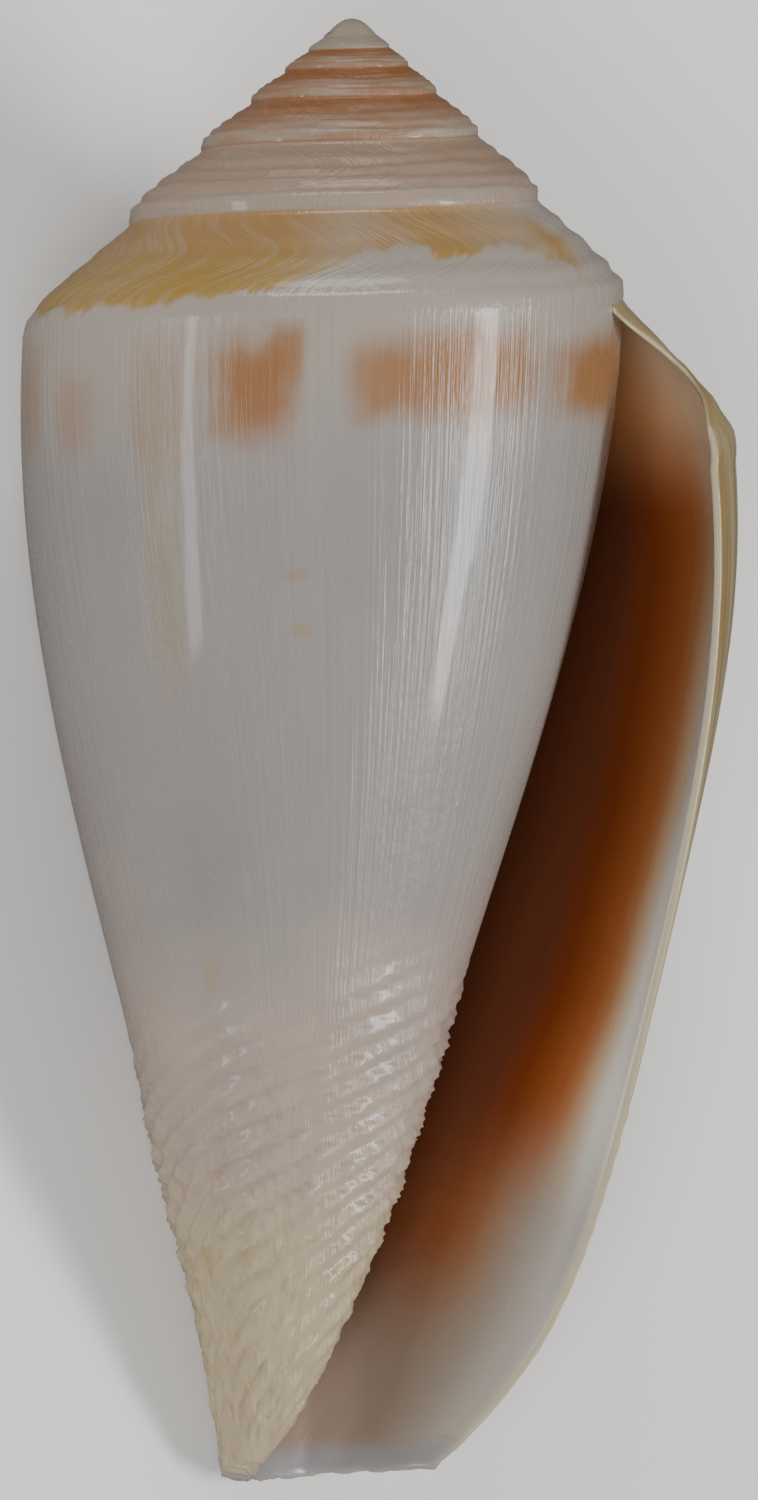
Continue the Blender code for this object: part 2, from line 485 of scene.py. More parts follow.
def swingOf(share):
    # the slant of the growth lines down the body, in half turns
    even, late = shellLines["bodySweep"]
    return (even * power(share, 1.5) + late * power(share, 10.0) - shellLines["lead"]) / 180.0


def rampLead(ramp):
    # and their bow over the shoulder
    bow = power(sine(lower(1.0, ramp * 1.3) * math.pi), 2.0)
    return (shellLines["rampBow"] * bow - shellLines["lead"]) / 180.0


def centreOf(depth):
    # how far the axis has moved sideways at a depth
    bent = upper(0.0, depth - shellLines["axisStart"]) / shellLines["axisLength"]
    return power(bent, 1.25) * -shellLines["axisBend"]


def shoulderRule(v):
    half = v["Half"]
    turns = half / 2.0
    radius = power(math.e, turns * turns * v["Growth change"] * -1.0 - turns * v["Growth"])
    radius = radius * v["Shoulder radius"]
    wave = power(sine(half * math.pi), 2.0)
    inBack = above(half, 0.0) * above(1.0 - half, 0.0)
    inFront = above(half, 1.0) * above(2.0 - half, 0.0)
    swell = 1.0 - inBack * wave * v["Back flat"] + inFront * wave * v["Front full"]
    reach = sumOf("SQRT", radius * radius + v["Apex round"] * v["Apex round"])
    depth = v["Spire slope"] * radius * radius / reach + v["Spire curve"] * radius * radius
    return radius, radius * swell, depth, depth + radius * v["Step share"]


def girthOf(half, share):
    # the profile at the lip, half a turn back and a full turn back, joined without a break
    square = share * share
    cube = square * share
    eighth = power(share, 8.0)

    def profileLog(name):
        a, b, c, d = girths[name]
        return logOf(upper(1.0 + a * share + b * square + c * cube + d * eighth, 0.02))

    first = profileLog("lip")
    middle = profileLog("halfTurn")
    last = profileLog("fullTurn")
    slopeA = 1.3 * (middle - first)
    slopeB = 0.5 * (last - first)
    a = lower(1.0, upper(0.0, half))
    b = lower(1.0, upper(0.0, half - 1.0))
    value = first + (middle - first) * (a * a * (3.0 - 2.0 * a))
    value = value + slopeA * a * power(1.0 - a, 2.0) - slopeB * a * a * (1.0 - a)
    value = value + (last - middle) * (b * b * (3.0 - 2.0 * b)) + slopeB * b * power(1.0 - b, 2.0)
    value = value + slopeA * lower(0.0, half)
    return power(math.e, value)


def wornOf(half, wide, depth):
    # the side on which the shell lies is a little flat, with three low knobs that touch the ground
    side = math.radians(restPose["side"])
    lean = math.radians(restPose["lean"])
    across = math.cos(side) * math.cos(lean)
    back = math.sin(side) * math.cos(lean)
    rising = math.sin(lean)
    sloped = across + shellLines["levelSlope"] * rising
    facing = cosine(half * math.pi) * sloped + sine(half * math.pi) * back
    low = restPose["knobHeight"]
    knobWide, knobLong = restPose["knobSize"]
    for knobHalf, knobDepth in restPose["knobs"]:
        knob = hill(half, knobHalf, knobWide) * hill(depth, knobDepth, knobLong)
        low = low - knob * restPose["knobHeight"]
    limit = (restPose["reach"] - low - depth * rising - centreOf(depth) * across) / upper(facing, 0.2)
    limit = limit + noLimit * upper(above(0.2, facing), above(half, 1.6))
    ease = upper(0.0, 1.0 - unsigned(wide - limit) / restPose["blend"])
    return lower(wide, limit) - ease * ease * (restPose["blend"] / 4.0)


def profileRule(v):
    base, down, last = v["Base"], v["Down"], v["Last"]
    ramp = lower(1.0, down)
    body = upper(0.0, down - 1.0)
    # over the shoulder
    halfRamp = base + rampLead(ramp)
    radius, wide, cornerDepth, footDepth = called(shoulderGroup, {**v, "Half": halfRamp})
    older = called(shoulderGroup, {**v, "Half": halfRamp + 2.0})
    startWide, startDepth = older[1], older[3]
    slant = sumOf("SQRT", power(wide - startWide, 2.0) + power(cornerDepth - startDepth, 2.0))
    reach = 1.6 * v["Step share"] * radius / slant
    bendWide = wide + (startWide - wide) * reach
    bendDepth = cornerDepth + (startDepth - cornerDepth) * reach
    p = lower(1.0, ramp * 2.0)
    q = upper(0.0, ramp * 2.0 - 1.0)
    r = 1.0 - q
    rampWide = startWide + (bendWide - startWide) * p
    rampWide = rampWide + r * r * bendWide + 2.0 * q * r * wide + q * q * wide - bendWide
    rampDepth = startDepth + (bendDepth - startDepth) * p
    rampDepth = rampDepth + r * r * bendDepth + 2.0 * q * r * cornerDepth + q * q * footDepth - bendDepth
    # down the body
    first = sheetCounts["firstShare"]
    halfBody = base + swingOf(lower(1.0, body))
    lowest = called(shoulderGroup, {**v, "Half": halfBody})
    bodyWide, top = lowest[1], lowest[3]
    dip, climb = shellLines["edgeDip"]
    bottom = dip * rise(halfBody, 0.0, 0.5) - climb * rise(halfBody, 0.7, 1.25) + shellLines["baseDepth"]
    chips = cloudy(halfBody * 16.0, v["Seed"], 0.0, 3.0, 0.65) - 0.5
    bottom = bottom + chips * v["Edge chips"] * 5.0 * (1.0 - rise(halfBody, 0.8, 1.0))
    limit = (lower(last, bottom) - top) / (bottom - top)
    share = first + (body - first) * (limit - first) / (1.0 - first)
    share = upper(blend(above(limit, 0.9999), share, body), 0.0)
    bodyDepth = top + (bottom - top) * share
    bodyWide = bodyWide * girthOf(halfBody, lower(share, 1.0))
    onBody = above(down, 1.0001)
    half = blend(onBody, halfRamp, halfBody)
    depth = blend(onBody, rampDepth, bodyDepth)
    return half, wornOf(half, blend(onBody, rampWide, bodyWide), depth), depth


def liningRule(v):
    # the inner wall, set in from the outer sheet
    base, down = v["Base"], v["Down"]
    half, wide, depth = v["Half"], v["Wide"], v["Depth"]
    first = sheetCounts["firstShare"]
    ramp = lower(1.0, down)
    body = upper(0.0, down - 1.0)
    inward = {**v, "Base": base + 2.0}
    below = called(profileGroup, {**inward, "Down": 1.0 + first})
    over = called(profileGroup, {**inward, "Down": 1.0})
    core = called(profileGroup, {**inward, "Down": upper(down, 1.0)})
    edge = v["Lip thickness"] * (0.42 + 0.58 * rise(down, 0.55, 1.1))
    wall = blend(rise(base, 0.0, 0.4), edge, v["Wall thickness"]) * power(math.e, half * -0.12)
    share = ramp * ramp * (3.0 - 2.0 * ramp)
    dip = 4.0 * share * (1.0 - share)
    rampWide = wide - (over[1] - below[1]) * (1.0 - share) - wall * (share - 0.2 * dip)
    rampDepth = depth + (below[2] - over[2]) * (1.0 - share) + wall * (0.4 * share + 0.5 * dip)
    opened = 2.0 * sheetCounts["openColumns"] / sheetCounts["columns"]
    closing = rise(base, 0.55 * opened, opened) * power(body, 6.0)
    bodyWide = upper(wide - wall, core[1] + 3.0)
    bodyWide = blend(closing, bodyWide, core[1])
    bodyDepth = depth + wall * 0.4 * (1.0 - body)
    onBody = above(down, 1.0001)
    return blend(onBody, rampWide, bodyWide), blend(onBody, rampDepth, bodyDepth)


def reliefRule(v):
    # how far the surface stands out from the plain sheet, in steps
    half, wide, depth, down, seed = v["Half"], v["Wide"], v["Depth"], v["Down"], v["Seed"]
    places = reliefPlaces
    ramp = lower(1.0, down)
    onBody = above(down, 1.0001)
    scale = wide / v["Shoulder radius"]
    # spiral threads on the older ramps, broken into beads by growth lines
    wander = cloudy(half * 3.0, down * 2.0, seed, 2.0)
    threads = cosine((ramp * places["threads"] + wander * 1.7) * 2.0 * math.pi)
    threads = threads * rise(ramp, 0.06, 0.2) * (1.0 - rise(ramp, 0.84, 0.98))
    beads = cloudy(half * 30.0, down * 8.0, seed, 3.0)
    older = 0.3 + 0.7 * rise(half, 1.5, 2.2)
    total = threads * (1.0 - onBody) * older * (0.35 + 1.3 * beads) * v["Thread height"] * scale
    # a swelling above each seam, and a groove below it
    swell = hill(ramp, 0.86, 0.1) - 0.6 * hill(ramp, 0.03, 0.05)
    total = total + swell * (1.0 - onBody) * older * v["Step height"] * scale
    # growth lines across the sheet
    fine = cloudy(v["Base"] * 34.0, down * 1.8, seed + 3.0, 1.0) - 0.5
    broad = cloudy(v["Base"] * 13.0, down * 1.1, seed + 5.0, 2.0) - 0.5
    total = total + (fine * 1.6 + broad * 2.4) * v["Growth height"] * (0.35 + 0.65 * scale)
    wave = cloudy(half * 2.6, down * 3.2, seed + 9.0, 2.0) - 0.5
    total = total + wave * v["Wave height"] * 1.6 * scale
    # spiral cords towards the base, first on the side beside the opening
    start = places["cordStart"] + places["cordLag"] * rise(unsigned(half - 1.85), 0.1, 0.8)
    clear = onBody * (0.12 + 0.88 * rise(v["Base"], 0.08, 0.4))    # the lip keeps a smooth edge
    lift = rise((depth - start) / 130.0, 0.0, 1.0) * clear
    warp = cloudy(half * 5.0, depth / 60.0, seed + 1.0, 3.0) - 0.5
    nearBase = logOf(upper(depth, 1.0) / shellLines["baseDepth"])
    order = (nearBase + places["cordSlant"] * half) / places["cordGap"]
    cord = power(cosine((order + warp * 0.8) * 2.0 * math.pi) * 0.5 + 0.5, 1.4)
    patch = 0.6 + 0.7 * rise(cloudy(half * 13.0, depth / 26.0, seed + 2.0, 2.0), 0.32, 0.62)
    fade = 1.0 - 0.65 * rise(depth, 1170.0, 1320.0)
    total = total + cord * patch * lift * fade * v["Cord height"]
    # the cords break into a loose net and wrinkles
    knots = cellEdge(half * 9.5 + warp * 1.4, depth / 26.0 + half * 5.0 + warp * 1.5, seed)
    net = 1.0 - rise(knots, 0.0, 0.2)
    total = total + net * rise(depth, *places["netFrom"]) * clear * v["Net height"] * 0.8
    wrinkles = cloudy(half * 7.0, depth / 19.0 + half * 6.0, seed + 4.0, 2.0) - 0.5
    total = total + wrinkles * rise(depth, *places["wrinklesFrom"]) * clear * v["Net height"] * 2.4
    tip = rise(depth, shellLines["pillarEnd"], shellLines["baseDepth"]) * rise(half, 0.8, 1.2)
    total = total * (1.0 - tip)
    total = total * (1.0 - 0.95 * hill(half, 0.62, 0.2))    # nearly plain where it lies
    return (total * blend(v["Lining"], 1.0, 0.12),)


shapeNames = list(shellShape) + list(shellRelief)
shoulderGroup = numberGroup(
    "shoulder line", ["Half"] + shapeNames,
    ["Radius", "Wide", "Corner depth", "Foot depth"], shoulderRule)
profileGroup = numberGroup(
    "profile", ["Base", "Down", "Last"] + shapeNames,
    ["Half", "Wide", "Depth"], profileRule)
liningGroup = numberGroup(
    "lining", ["Base", "Down", "Last", "Half", "Wide", "Depth"] + shapeNames,
    ["Wide", "Depth"], liningRule)
reliefGroup = numberGroup(
    "relief", ["Base", "Half", "Wide", "Depth", "Down", "Lining"] + shapeNames,
    ["Height"], reliefRule)


def rollingTree(cover):
    tree = bpy.data.node_groups.new("roll the sheet", "GeometryNodeTree")
    sockets = tree.interface
    sockets.new_socket("Geometry", in_out="INPUT", socket_type="NodeSocketGeometry")
    for name, value in {**shellShape, **shellRelief}.items():
        socket = sockets.new_socket(name, in_out="INPUT", socket_type="NodeSocketFloat")
        socket.default_value = value
    sockets.new_socket("Geometry", in_out="OUTPUT", socket_type="NodeSocketGeometry")
    start = tree.nodes.new("NodeGroupInput")
    values = {name: Field(tree, start.outputs[name]) for name in shapeNames}

    def stored(name):
        node = tree.nodes.new("GeometryNodeInputNamedAttribute")
        node.data_type = "FLOAT"
        node.inputs["Name"].default_value = name
        return Field(tree, node.outputs["Attribute"])

    values.update({"Base": stored("base"), "Down": stored("down"), "Last": stored("last")})
    lining = stored("lining")
    half, wide, depth = called(profileGroup, values)
    values.update({"Half": half, "Wide": wide, "Depth": depth})
    innerWide, innerDepth = called(liningGroup, values)
    spotWide = blend(lining, wide, innerWide) * stored("widthPull")
    spotDepth = blend(lining, depth, innerDepth) * stored("depthPull")
    unit = values["Shell length"] / stepsLong
    x = spotWide * cosine(half * math.pi)
    y = spotWide * sine(half * math.pi)
    level = spotDepth + shellLines["levelSlope"] * x
    spot = point(tree, (x + centreOf(spotDepth)) * unit, y * unit, level * unit * -1.0)
    roll = tree.nodes.new("GeometryNodeSetPosition")
    plug(tree, start.outputs["Geometry"], roll.inputs["Geometry"])
    plug(tree, spot, roll.inputs["Position"])

    height = called(reliefGroup, {**values, "Lining": lining})[0] * unit
    normal = tree.nodes.new("GeometryNodeInputNormal")
    push = tree.nodes.new("ShaderNodeVectorMath")
    push.operation = "SCALE"
    plug(tree, normal.outputs["Normal"], push.inputs[0])
    plug(tree, height, push.inputs["Scale"])
    raised = tree.nodes.new("GeometryNodeSetPosition")
    plug(tree, roll.outputs["Geometry"], raised.inputs["Geometry"])
    plug(tree, push.outputs["Vector"], raised.inputs["Offset"])

    whole = tree.nodes.new("GeometryNodeRealizeInstances")
    plug(tree, raised.outputs["Geometry"], whole.inputs["Geometry"])
    coat = tree.nodes.new("GeometryNodeSetMaterial")
    coat.inputs["Material"].default_value = cover
    plug(tree, whole.outputs["Geometry"], coat.inputs["Geometry"])
    end = tree.nodes.new("NodeGroupOutput")
    plug(tree, coat.outputs["Geometry"], end.inputs["Geometry"])
    return tree


def restMatrix():
    turn = Matrix.Rotation(math.radians(restPose["lean"] - 90.0), 4, "X")
    turn = turn @ Matrix.Rotation(math.radians(90.0 - restPose["side"]), 4, "Z")
    return Matrix.Translation(-Vector(restPose["shift"])) @ turn


def rolledShell(cover):
    sheet = sheetObject()
    tree = rollingTree(cover)
    modifier = sheet.modifiers.new("roll", "NODES")
    modifier.node_group = tree
    sizes = {**shellShape, **shellRelief}
    for item in tree.interface.items_tree:
        if item.in_out == "INPUT" and item.name in sizes:
            modifier[item.identifier] = float(sizes[item.name])
    seen = bpy.context.evaluated_depsgraph_get()
    mesh = bpy.data.meshes.new_from_object(sheet.evaluated_get(seen))
    bpy.data.objects.remove(sheet, do_unlink=True)
    mesh.name = "coneShell"
    mesh.transform(restMatrix())
    mesh.shade_smooth()
    shell = bpy.data.objects.new("coneShell", mesh)
    bpy.context.collection.objects.link(shell)
    return shell


# the finish


def photoColour(red, green, blue, gain=1.05):
    # a colour as it looks on screen, turned into light, with a gain
    def straight(number):
        share = number / 255.0
        return share / 12.92 if share <= 0.04045 else ((share + 0.055) / 1.055) ** 2.4
    return tuple(min(0.95, straight(number) * gain) for number in (red, green, blue)) + (1.0,)


shellColours = {
    "body": photoColour(145, 139, 135),
    "bodyGrey": photoColour(139, 135, 132),
    "bodyMauve": photoColour(145, 133, 127),
    "shoulder": photoColour(157, 147, 136),
    "spire": photoColour(152, 132, 114),
    "apex": photoColour(147, 133, 117),
    "suture": photoColour(134, 84, 42),
    "seamPink": photoColour(140, 102, 76),
    "skin": photoColour(151, 121, 58),
    "skinTan": photoColour(153, 118, 72),
    "skinPink": photoColour(158, 134, 104),
    "blotch": photoColour(142, 98, 60),
    "mark": photoColour(150, 130, 92),
    "baseRose": photoColour(181, 160, 143),
    "baseCream": photoColour(178, 163, 130),
    "baseOchre": photoColour(150, 124, 74),
    "rim": photoColour(180, 168, 140),
    "lipOlive": photoColour(134, 108, 58),
    "lipCream": photoColour(162, 146, 104),
    "edgeGrey": photoColour(138, 138, 142),
    "edgeLine": photoColour(142, 116, 98),
}

# colours inside the opening, from the lip inwards, in half turns
insideReach = 0.32
insideTones = {
    "white": (160, 155, 148),
    "pearl": (147, 139, 129),
    "cream": (147, 126, 102),
    "dusk": (121, 103, 89),
    "tan": (133, 102, 76),
    "amber": (140, 97, 62),
    "clay": (124, 84, 54),
    "rust": (113, 64, 34),
    "umber": (94, 48, 22),
    "brown": (78, 35, 15),
    "dark": (64, 33, 20),
}
middleTones = (
    (0.0, "white"), (0.035, "cream"), (0.066, "clay"), (0.086, "rust"),
    (0.12, "umber"), (0.15, "brown"), (0.19, "dark"),
)
lowTones = (
    (0.0, "white"), (0.055, "pearl"), (0.12, "tan"), (0.143, "clay"), (0.176, "rust"), (0.235, "umber"),
)
endTones = ((0.0, "white"), (0.06, "pearl"), (0.17, "dusk"))
topTones = ((0.0, "cream"), (0.055, "cream"), (0.155, "amber"))

# how orange the seams of the spire are, by half turns back
seamWarmth = ((2.0, 0.0), (4.0, 0.2), (5.2, 0.75), (6.8, 1.0), (8.8, 1.0), (10.2, 0.8), (11.2, 0.0))

# how far down the last ramp the thin skin reaches, and how thick it is there, by half turns back
skinReach = (
    (1.05, 0.8), (1.3, 0.84), (1.4, 0.76), (1.46, 0.58), (1.56, 0.34),
    (1.64, 0.46), (1.72, 0.36), (1.79, 0.5), (1.83, 0.8), (1.88, 0.5),
)
skinThick = (
    (1.05, 0.75), (1.2, 0.6), (1.3, 0.95), (1.4, 1.0), (1.46, 0.4), (1.5, 0.18), (1.56, 0.75),
    (1.62, 1.0), (1.68, 0.4), (1.76, 0.12), (1.795, 0.3), (1.82, 0.9), (1.87, 0.35),
)

# spots on the body: half turns back, place down the body, half width, half height, strength
blotches = (
    (1.402, 0.062, 0.043, 0.050, 0.95),
    (1.436, 0.030, 0.020, 0.026, 0.7),
    (1.560, 0.056, 0.055, 0.038, 0.85),
    (1.650, 0.052, 0.070, 0.040, 0.95),
    (1.860, 0.060, 0.110, 0.036, 1.0),
    (1.300, 0.070, 0.040, 0.060, 0.35),
    (1.175, 0.075, 0.035, 0.040, 0.35),
    (1.060, 0.060, 0.040, 0.050, 0.4),
    (0.900, 0.058, 0.060, 0.045, 0.7),
    (0.720, 0.055, 0.045, 0.050, 0.8),
    (0.560, 0.060, 0.060, 0.040, 0.7),
    (0.360, 0.055, 0.050, 0.045, 0.75),
    (0.180, 0.060, 0.055, 0.040, 0.7),
)
smallMarks = (
    (1.457, 0.224, 0.016, 0.005, 0.6),
    (1.466, 0.272, 0.014, 0.006, 0.5),
    (1.328, 0.572, 0.016, 0.014, 0.5),
    (1.300, 0.200, 0.026, 0.130, 0.35),
)

shellGloss = {
    "Specular IOR Level": 0.4,
    "Coat Weight": 0.25,
    "Coat Roughness": 0.08,
}


def mixed(tree, share, a, b):
    node = tree.nodes.new("ShaderNodeMix")
    node.data_type = "RGBA"
    node.clamp_factor = True
    plug(tree, share, node.inputs[0])
    for slot, item in ((node.inputs[6], a), (node.inputs[7], b)):
        plug(tree, item, slot)
    return node.outputs[2]


def stepped(share, stops):
    # a colour or a number that follows stops between 0 and 1
    node = share.tree.nodes.new("ShaderNodeValToRGB")
    marks = node.color_ramp.elements
    for order, (place, value) in enumerate(stops):
        mark = marks[order] if order < 2 else marks.new(place)
        mark.position = place
        mark.color = value if isinstance(value, tuple) else (value, value, value, 1.0)
    plug(share.tree, share, node.inputs["Fac"])
    return node.outputs["Color"]


def numberAlong(place, low, high, pairs):
    # a number given by pairs of place and value
    span = high - low
    stops = [((where - low) / span, value) for where, value in pairs]
    return Field(place.tree, stepped((place - low) / span, stops))


class Spot:
    # where a place lies on the shell, and the noises that more than one colour follows
    def __init__(self, tree):
        growth = tree.nodes.new("ShaderNodeUVMap")
        growth.uv_map = "growth"
        parts = tree.nodes.new("ShaderNodeSeparateXYZ")
        tree.links.new(growth.outputs["UV"], parts.inputs[0])
        wall = tree.nodes.new("ShaderNodeAttribute")
        wall.attribute_name = "lining"
        self.tree = tree
        self.base = Field(tree, parts.outputs["X"])
        self.down = Field(tree, parts.outputs["Y"])
        self.lining = Field(tree, wall.outputs["Fac"])
        self.ramp = lower(1.0, upper(0.0, self.down))
        self.body = lower(1.0, upper(0.0, self.down - 1.0))
        self.onBody = above(self.down, 1.0)
        self.onRamp = 1.0 - self.onBody
        self.half = self.base + blend(self.onBody, rampLead(self.ramp), swingOf(self.body))
        self.along = self.ramp * 0.12 + self.body                  # even measure of the way down
        self.spire = rise(self.base, 1.98, 2.1) * self.onRamp
        self.fine = cloudy(self.base * 60.0, self.down * 1.5, 5.0, 3.0, 0.6)
        self.streaks = cloudy(self.base * 22.0, self.down * 1.6, 4.0, 4.0, 0.6)
        self.drift = cloudy(self.half * 2.4, self.down * 4.0, 1.0, 3.0)


def bodyColour(at):
    # grey-white with mauve clouds, paler under the shoulder
    colours = shellColours
    colour = mixed(at.tree, rise(at.drift, 0.38, 0.62), colours["body"], colours["bodyGrey"])
    mauve = rise(cloudy(at.half * 1.6, at.down * 2.2, 12.0, 2.0), 0.5, 0.7)
    colour = mixed(at.tree, mauve * 0.7, colour, colours["bodyMauve"])
    return mixed(at.tree, 1.0 - rise(at.body, 0.01, 0.15), colour, colours["shoulder"])


def spireColour(at, colour):
    # a soft orange line in each early seam, and a pale apex
    colours = shellColours
    colour = mixed(at.tree, at.spire, colour, colours["spire"])
    uneven = at.ramp + (at.drift - 0.5) * 0.3
    pale = rise(uneven, 0.5, 0.95) * at.spire * (1.0 - rise(at.base, 6.0, 7.0))
    colour = mixed(at.tree, pale * 0.45, colour, colours["shoulder"])
    warm = numberAlong(at.base, 2.0, 12.0, seamWarmth)
    rosy = rise(cloudy(at.half * 3.0, at.ramp * 3.0, 15.0, 2.0), 0.4, 0.62)
    colour = mixed(at.tree, warm * rosy * 0.85 * at.onRamp, colour, colours["seamPink"])
    seam = (1.0 - rise(uneven, 0.1, 0.85)) + rise(at.ramp, 0.93, 1.0) * 0.8
    colour = mixed(at.tree, seam * warm * at.onRamp * 1.1, colour, colours["suture"])
    return mixed(at.tree, rise(at.base, 10.3, 10.9), colour, colours["apex"])


def skinMask(at):
    # the thin skin left on the last ramp, with an edge that follows the growth lines
    reach = numberAlong(at.half, 1.0, 2.0, skinReach) + (at.streaks - 0.5) * 0.5
    return (1.0 - rise(at.ramp - reach, -0.05, 0.04)) * at.onRamp * (1.0 - rise(at.base, 1.85, 1.95))


def skinColour(at, colour, skin):
    colours = shellColours
    thick = numberAlong(at.half, 1.0, 2.0, skinThick)
    tone = mixed(at.tree, rise(at.ramp, 0.2, 0.6), colours["skinTan"], colours["skin"])
    colour = mixed(at.tree, skin * 0.75, colour, colours["skinPink"])
    return mixed(at.tree, skin * lower(1.0, thick * (0.6 + 1.0 * rise(at.fine, 0.3, 0.7))), colour, tone)


def spotColour(at, colour, spots, shade):
    # soft-edged spots, a little frayed along the growth lines
    wobble = (cloudy(at.half * 26.0, at.along * 34.0, 2.0, 3.0) - 0.5) * 0.45
    frayed = wobble + (at.streaks - 0.5) * 0.8
    for centre, level, width, height, strength in spots:
        across = unsigned((at.half - centre) / width)
        lengthwise = unsigned((at.body - level) / height)
        away = power(power(across, 3.0) + power(lengthwise, 3.0), 0.33)
        mask = (1.0 - rise(away + frayed, 0.45, 1.4)) * at.onBody
        colour = mixed(at.tree, mask * strength, colour, shade)
    return colour


def baseColour(at, colour):
    # rose, cream and ochre towards the base
    colours = shellColours
    cloud = (cloudy(at.half * 4.0, at.body * 9.0, 6.0, 3.0) - 0.5) * 0.25
    colour = mixed(at.tree, rise(at.body + cloud, 0.45, 0.76) * 0.8, colour, colours["baseRose"])
    colour = mixed(at.tree, rise(at.body + cloud, 0.7, 0.86) * 0.8, colour, colours["baseCream"])
    ochre = rise(cloudy(at.half * 11.0, at.body * 26.0, 3.0, 4.0, 0.65), 0.52, 0.72)
    return mixed(at.tree, ochre * rise(at.body, 0.62, 0.85) * 0.5, colour, colours["baseOchre"])


def lipStripColour(at, colour):
    # the strip beside the lip is olive and cream
    colours = shellColours
    strip = (1.0 - rise(at.base, 0.06, 0.2)) * (1.0 - rise(at.body, 0.62, 0.85))
    grown = rise(at.fine + at.streaks * 0.6, 0.7, 0.95)
    tone = mixed(at.tree, grown, colours["lipCream"], colours["lipOlive"])
    return mixed(at.tree, strip * (0.5 + 0.45 * rise(at.down, 0.55, 1.05)), colour, tone)


def insideColour(at):
    # white by the lip, an orange-brown band, then deep brown, paler at both ends
    wander = (cloudy(at.half * 3.0, at.along * 4.0, 9.0, 2.0) - 0.5) * 0.03
    shift = 0.03 * rise(at.body, 0.48, 0.72) + 0.035 * (1.0 - rise(at.along, 0.08, 0.22))
    inward = (at.half - shift + wander) / insideReach

    def zone(tones, gain):
        # painted light: the gain brightens these colours past their own, most in the upper and middle zones,
        # to make up for the little light that gets in there
        return stepped(inward, [(place / insideReach, photoColour(*insideTones[name], gain))
                                for place, name in tones])

    colour = mixed(at.tree, 1.0 - rise(at.along, 0.02, 0.19), zone(middleTones, 2.9), zone(topTones, 3.3))
    colour = mixed(at.tree, rise(at.body, 0.62, 0.78), colour, zone(lowTones, 1.5))
    return mixed(at.tree, rise(at.body, 0.76, 0.91), colour, zone(endTones, 1.35))


def rimColour(at, colour):
    # the pale rim, and the thin grey edge at the base with one wavy line
    colours = shellColours
    rim = rise(at.lining, 0.05, 0.3) * (1.0 - rise(at.lining, 0.7, 1.0))
    colour = mixed(at.tree, rim * 0.9, colour, colours["rim"])
    fringe = rise(at.body + (at.streaks - 0.5) * 0.02, 0.965, 0.99) * (1.0 - rise(at.half, 0.8, 1.0))
    colour = mixed(at.tree, fringe * 0.75, colour, colours["edgeGrey"])
    wavy = (cloudy(at.half * 14.0, 3.0, 2.0, 2.0) - 0.5) * 0.02
    line = hill(at.body + wavy, 0.974, 0.0022)
    return mixed(at.tree, line * fringe * 0.7, colour, colours["edgeLine"])


def fineHeight(at):
    # growth lines, pits and grain too small for the mesh
    lines = cloudy(at.base * 150.0, at.down * 3.0, 1.0, 3.0, 0.6)
    pits = cloudy(at.half * 110.0, at.along * 120.0, 7.0, 2.0)
    grain = cloudy(at.half * 18.0, at.along * 50.0, 3.0, 3.0)
    rough = rise(at.body, 0.5, 0.7) + at.spire
    height = lines * 0.8 + pits * 0.25 + grain * rough * 1.2
    return height * blend(at.lining, 1.0, 0.15)


def shellCover():
    cover = bpy.data.materials.new("shellCover")
    cover.use_nodes = True
    tree = cover.node_tree
    surface = tree.nodes["Principled BSDF"]
    at = Spot(tree)
    skin = skinMask(at)
    colour = spireColour(at, bodyColour(at))
    colour = skinColour(at, colour, skin)
    colour = spotColour(at, colour, blotches, shellColours["blotch"])
    colour = spotColour(at, colour, smallMarks, shellColours["mark"])
    colour = baseColour(at, colour)
    faint = rise(at.fine, 0.5, 0.75) * 0.25 * (1.0 - skin)        # streaks along the growth lines
    colour = mixed(tree, faint, colour, shellColours["shoulder"])
    colour = lipStripColour(at, colour)
    colour = mixed(tree, rise(at.lining, 0.6, 0.95), colour, insideColour(at))
    plug(tree, rimColour(at, colour), surface.inputs["Base Color"])

    worn = cloudy(at.half * 30.0, at.along * 30.0, 2.0, 3.0)
    plug(tree, 0.2 + worn * 0.12 + 0.1 * skin + 0.06 * at.spire, surface.inputs["Roughness"])
    for name, value in shellGloss.items():
        surface.inputs[name].default_value = value
    fineBump = tree.nodes.new("ShaderNodeBump")
    fineBump.inputs["Strength"].default_value = 0.35
    fineBump.inputs["Distance"].default_value = 0.0002
    plug(tree, fineHeight(at), fineBump.inputs["Height"])
    plug(tree, fineBump.outputs["Normal"], surface.inputs["Normal"])
    return cover


cover = shellCover()
shell = rolledShell(cover)
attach(shell, "root")
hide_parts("shell")
print("shell rolled:", len(shell.data.polygons), "faces")

# floor, light and camera

studio = {
    "floorSize": 3.0,
    "floorColour": (0.86, 0.85, 0.835, 1.0),
    "skyStrength": 0.12,
    "cameraDistance": 1.0,
    "viewHeight": 1500.0,    # steps of the rule that the picture is tall
    "viewCentre": (26.0, 0.0, -732.0),
}


def studioFloor():
    reach = studio["floorSize"]
    mesh = bpy.data.meshes.new("studioFloor")
    corners = [(-reach, -reach, 0.0), (reach, -reach, 0.0), (reach, reach, 0.0), (-reach, reach, 0.0)]
    mesh.from_pydata(corners, [], [(0, 1, 2, 3)])
    floor = bpy.data.objects.new("studioFloor", mesh)
    bpy.context.collection.objects.link(floor)
    paint = bpy.data.materials.new("floorPaper")
    paint.use_nodes = True
    surface = paint.node_tree.nodes["Principled BSDF"]
    surface.inputs["Base Color"].default_value = studio["floorColour"]
    surface.inputs["Roughness"].default_value = 0.85
    mesh.materials.append(paint)
    floor.visible_glossy = False             # keeps the rim of the shell clear of floor glare


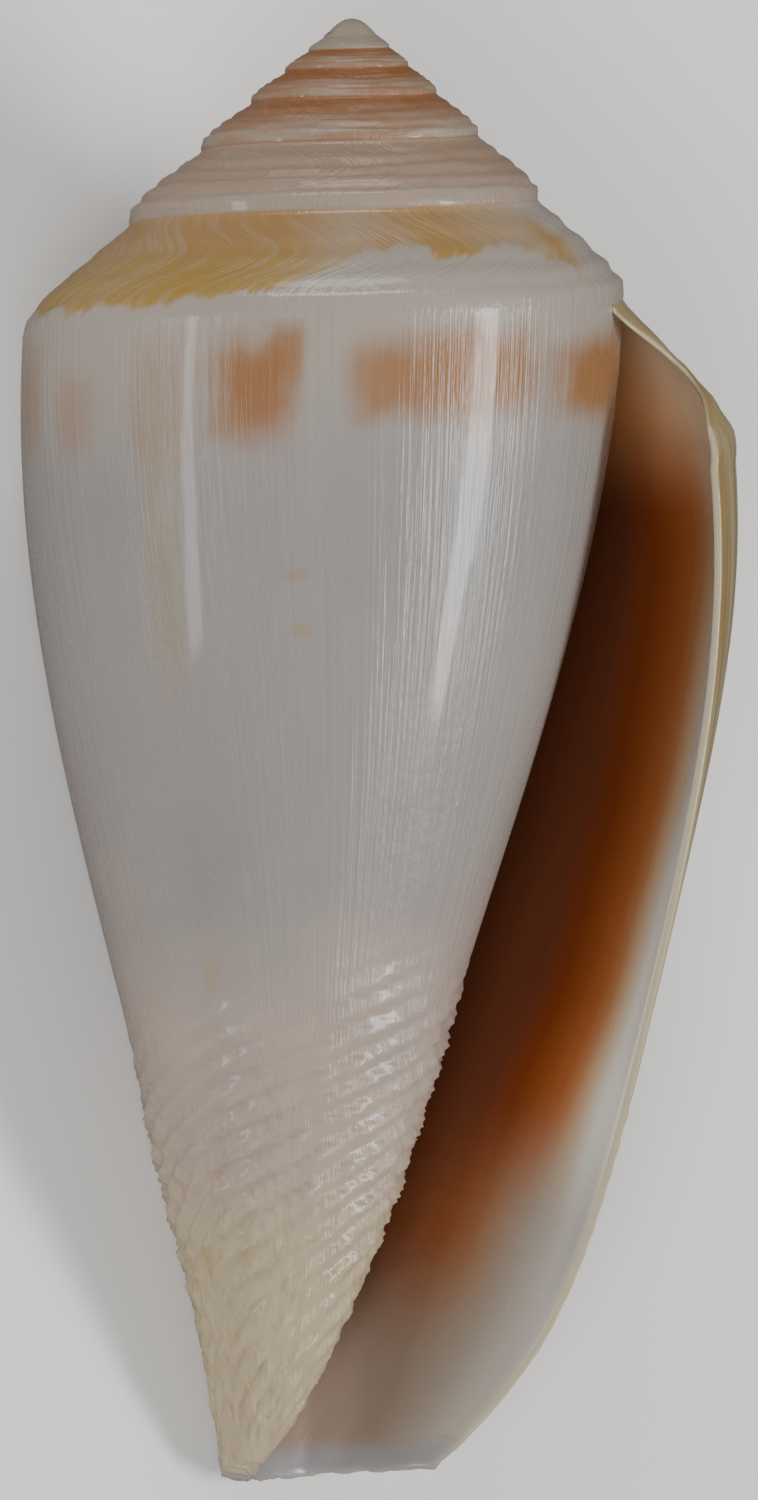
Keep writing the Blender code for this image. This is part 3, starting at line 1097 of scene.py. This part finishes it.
def photoCamera():
    unit = shellShape["Shell length"] / stepsLong
    place = restMatrix()
    target = place @ (Vector(studio["viewCentre"]) * unit)
    spot = place @ (Vector(studio["viewCentre"]) * unit + Vector((0.0, -studio["cameraDistance"], 0.0)))
    up = (place.to_3x3() @ Vector((0.0, 0.0, 1.0))).normalized()
    back = (spot - target).normalized()
    right = up.cross(back).normalized()
    data = bpy.data.cameras.new("photoCamera")
    data.sensor_fit = "VERTICAL"
    data.sensor_height = 24.0
    data.lens = 24.0 * studio["cameraDistance"] / (studio["viewHeight"] * unit)
    data.clip_end = 20.0
    camera = bpy.data.objects.new("photoCamera", data)
    camera.matrix_world = Matrix((right, up, back)).transposed().to_4x4()
    camera.location = spot
    bpy.context.collection.objects.link(camera)
    bpy.context.scene.camera = camera
    return target, right, up, back


target, toRight, toTop, toCamera = photoCamera()


def softBox(name, sideways, upward, distance, width, height, watts, shines=True):
    # angles are degrees to the right of the camera and above it, seen from the shell
    a = math.radians(sideways)
    b = math.radians(upward)
    way = toCamera * math.cos(a) * math.cos(b) + toRight * math.sin(a) * math.cos(b) + toTop * math.sin(b)
    data = bpy.data.lights.new(name, "AREA")
    data.shape = "RECTANGLE"
    data.size = width
    data.size_y = height
    data.energy = watts
    light = bpy.data.objects.new(name, data)
    z = way.normalized()
    x = toTop.cross(z).normalized()
    y = z.cross(x)
    light.matrix_world = Matrix((x, y, z)).transposed().to_4x4()
    light.location = target + way * distance
    light.visible_glossy = shines
    bpy.context.collection.objects.link(light)


softBox("leftBox", -57.0, -4.0, 1.2, 0.12, 0.7, 3.2)
softBox("rightBox", 64.0, -11.0, 0.5, 0.085, 0.28, 2.0)
softBox("topBox", 0.0, 70.0, 0.55, 0.35, 0.16, 1.45)
softBox("fillBox", -6.0, -12.0, 0.8, 0.3, 0.3, 3.4, False)

world = bpy.context.scene.world or bpy.data.worlds.new("studioWorld")
bpy.context.scene.world = world
world.use_nodes = True
sky = world.node_tree.nodes["Background"]
sky.inputs["Color"].default_value = (1.0, 1.0, 1.0, 1.0)
sky.inputs["Strength"].default_value = studio["skyStrength"]

studioFloor()
print("studio set")
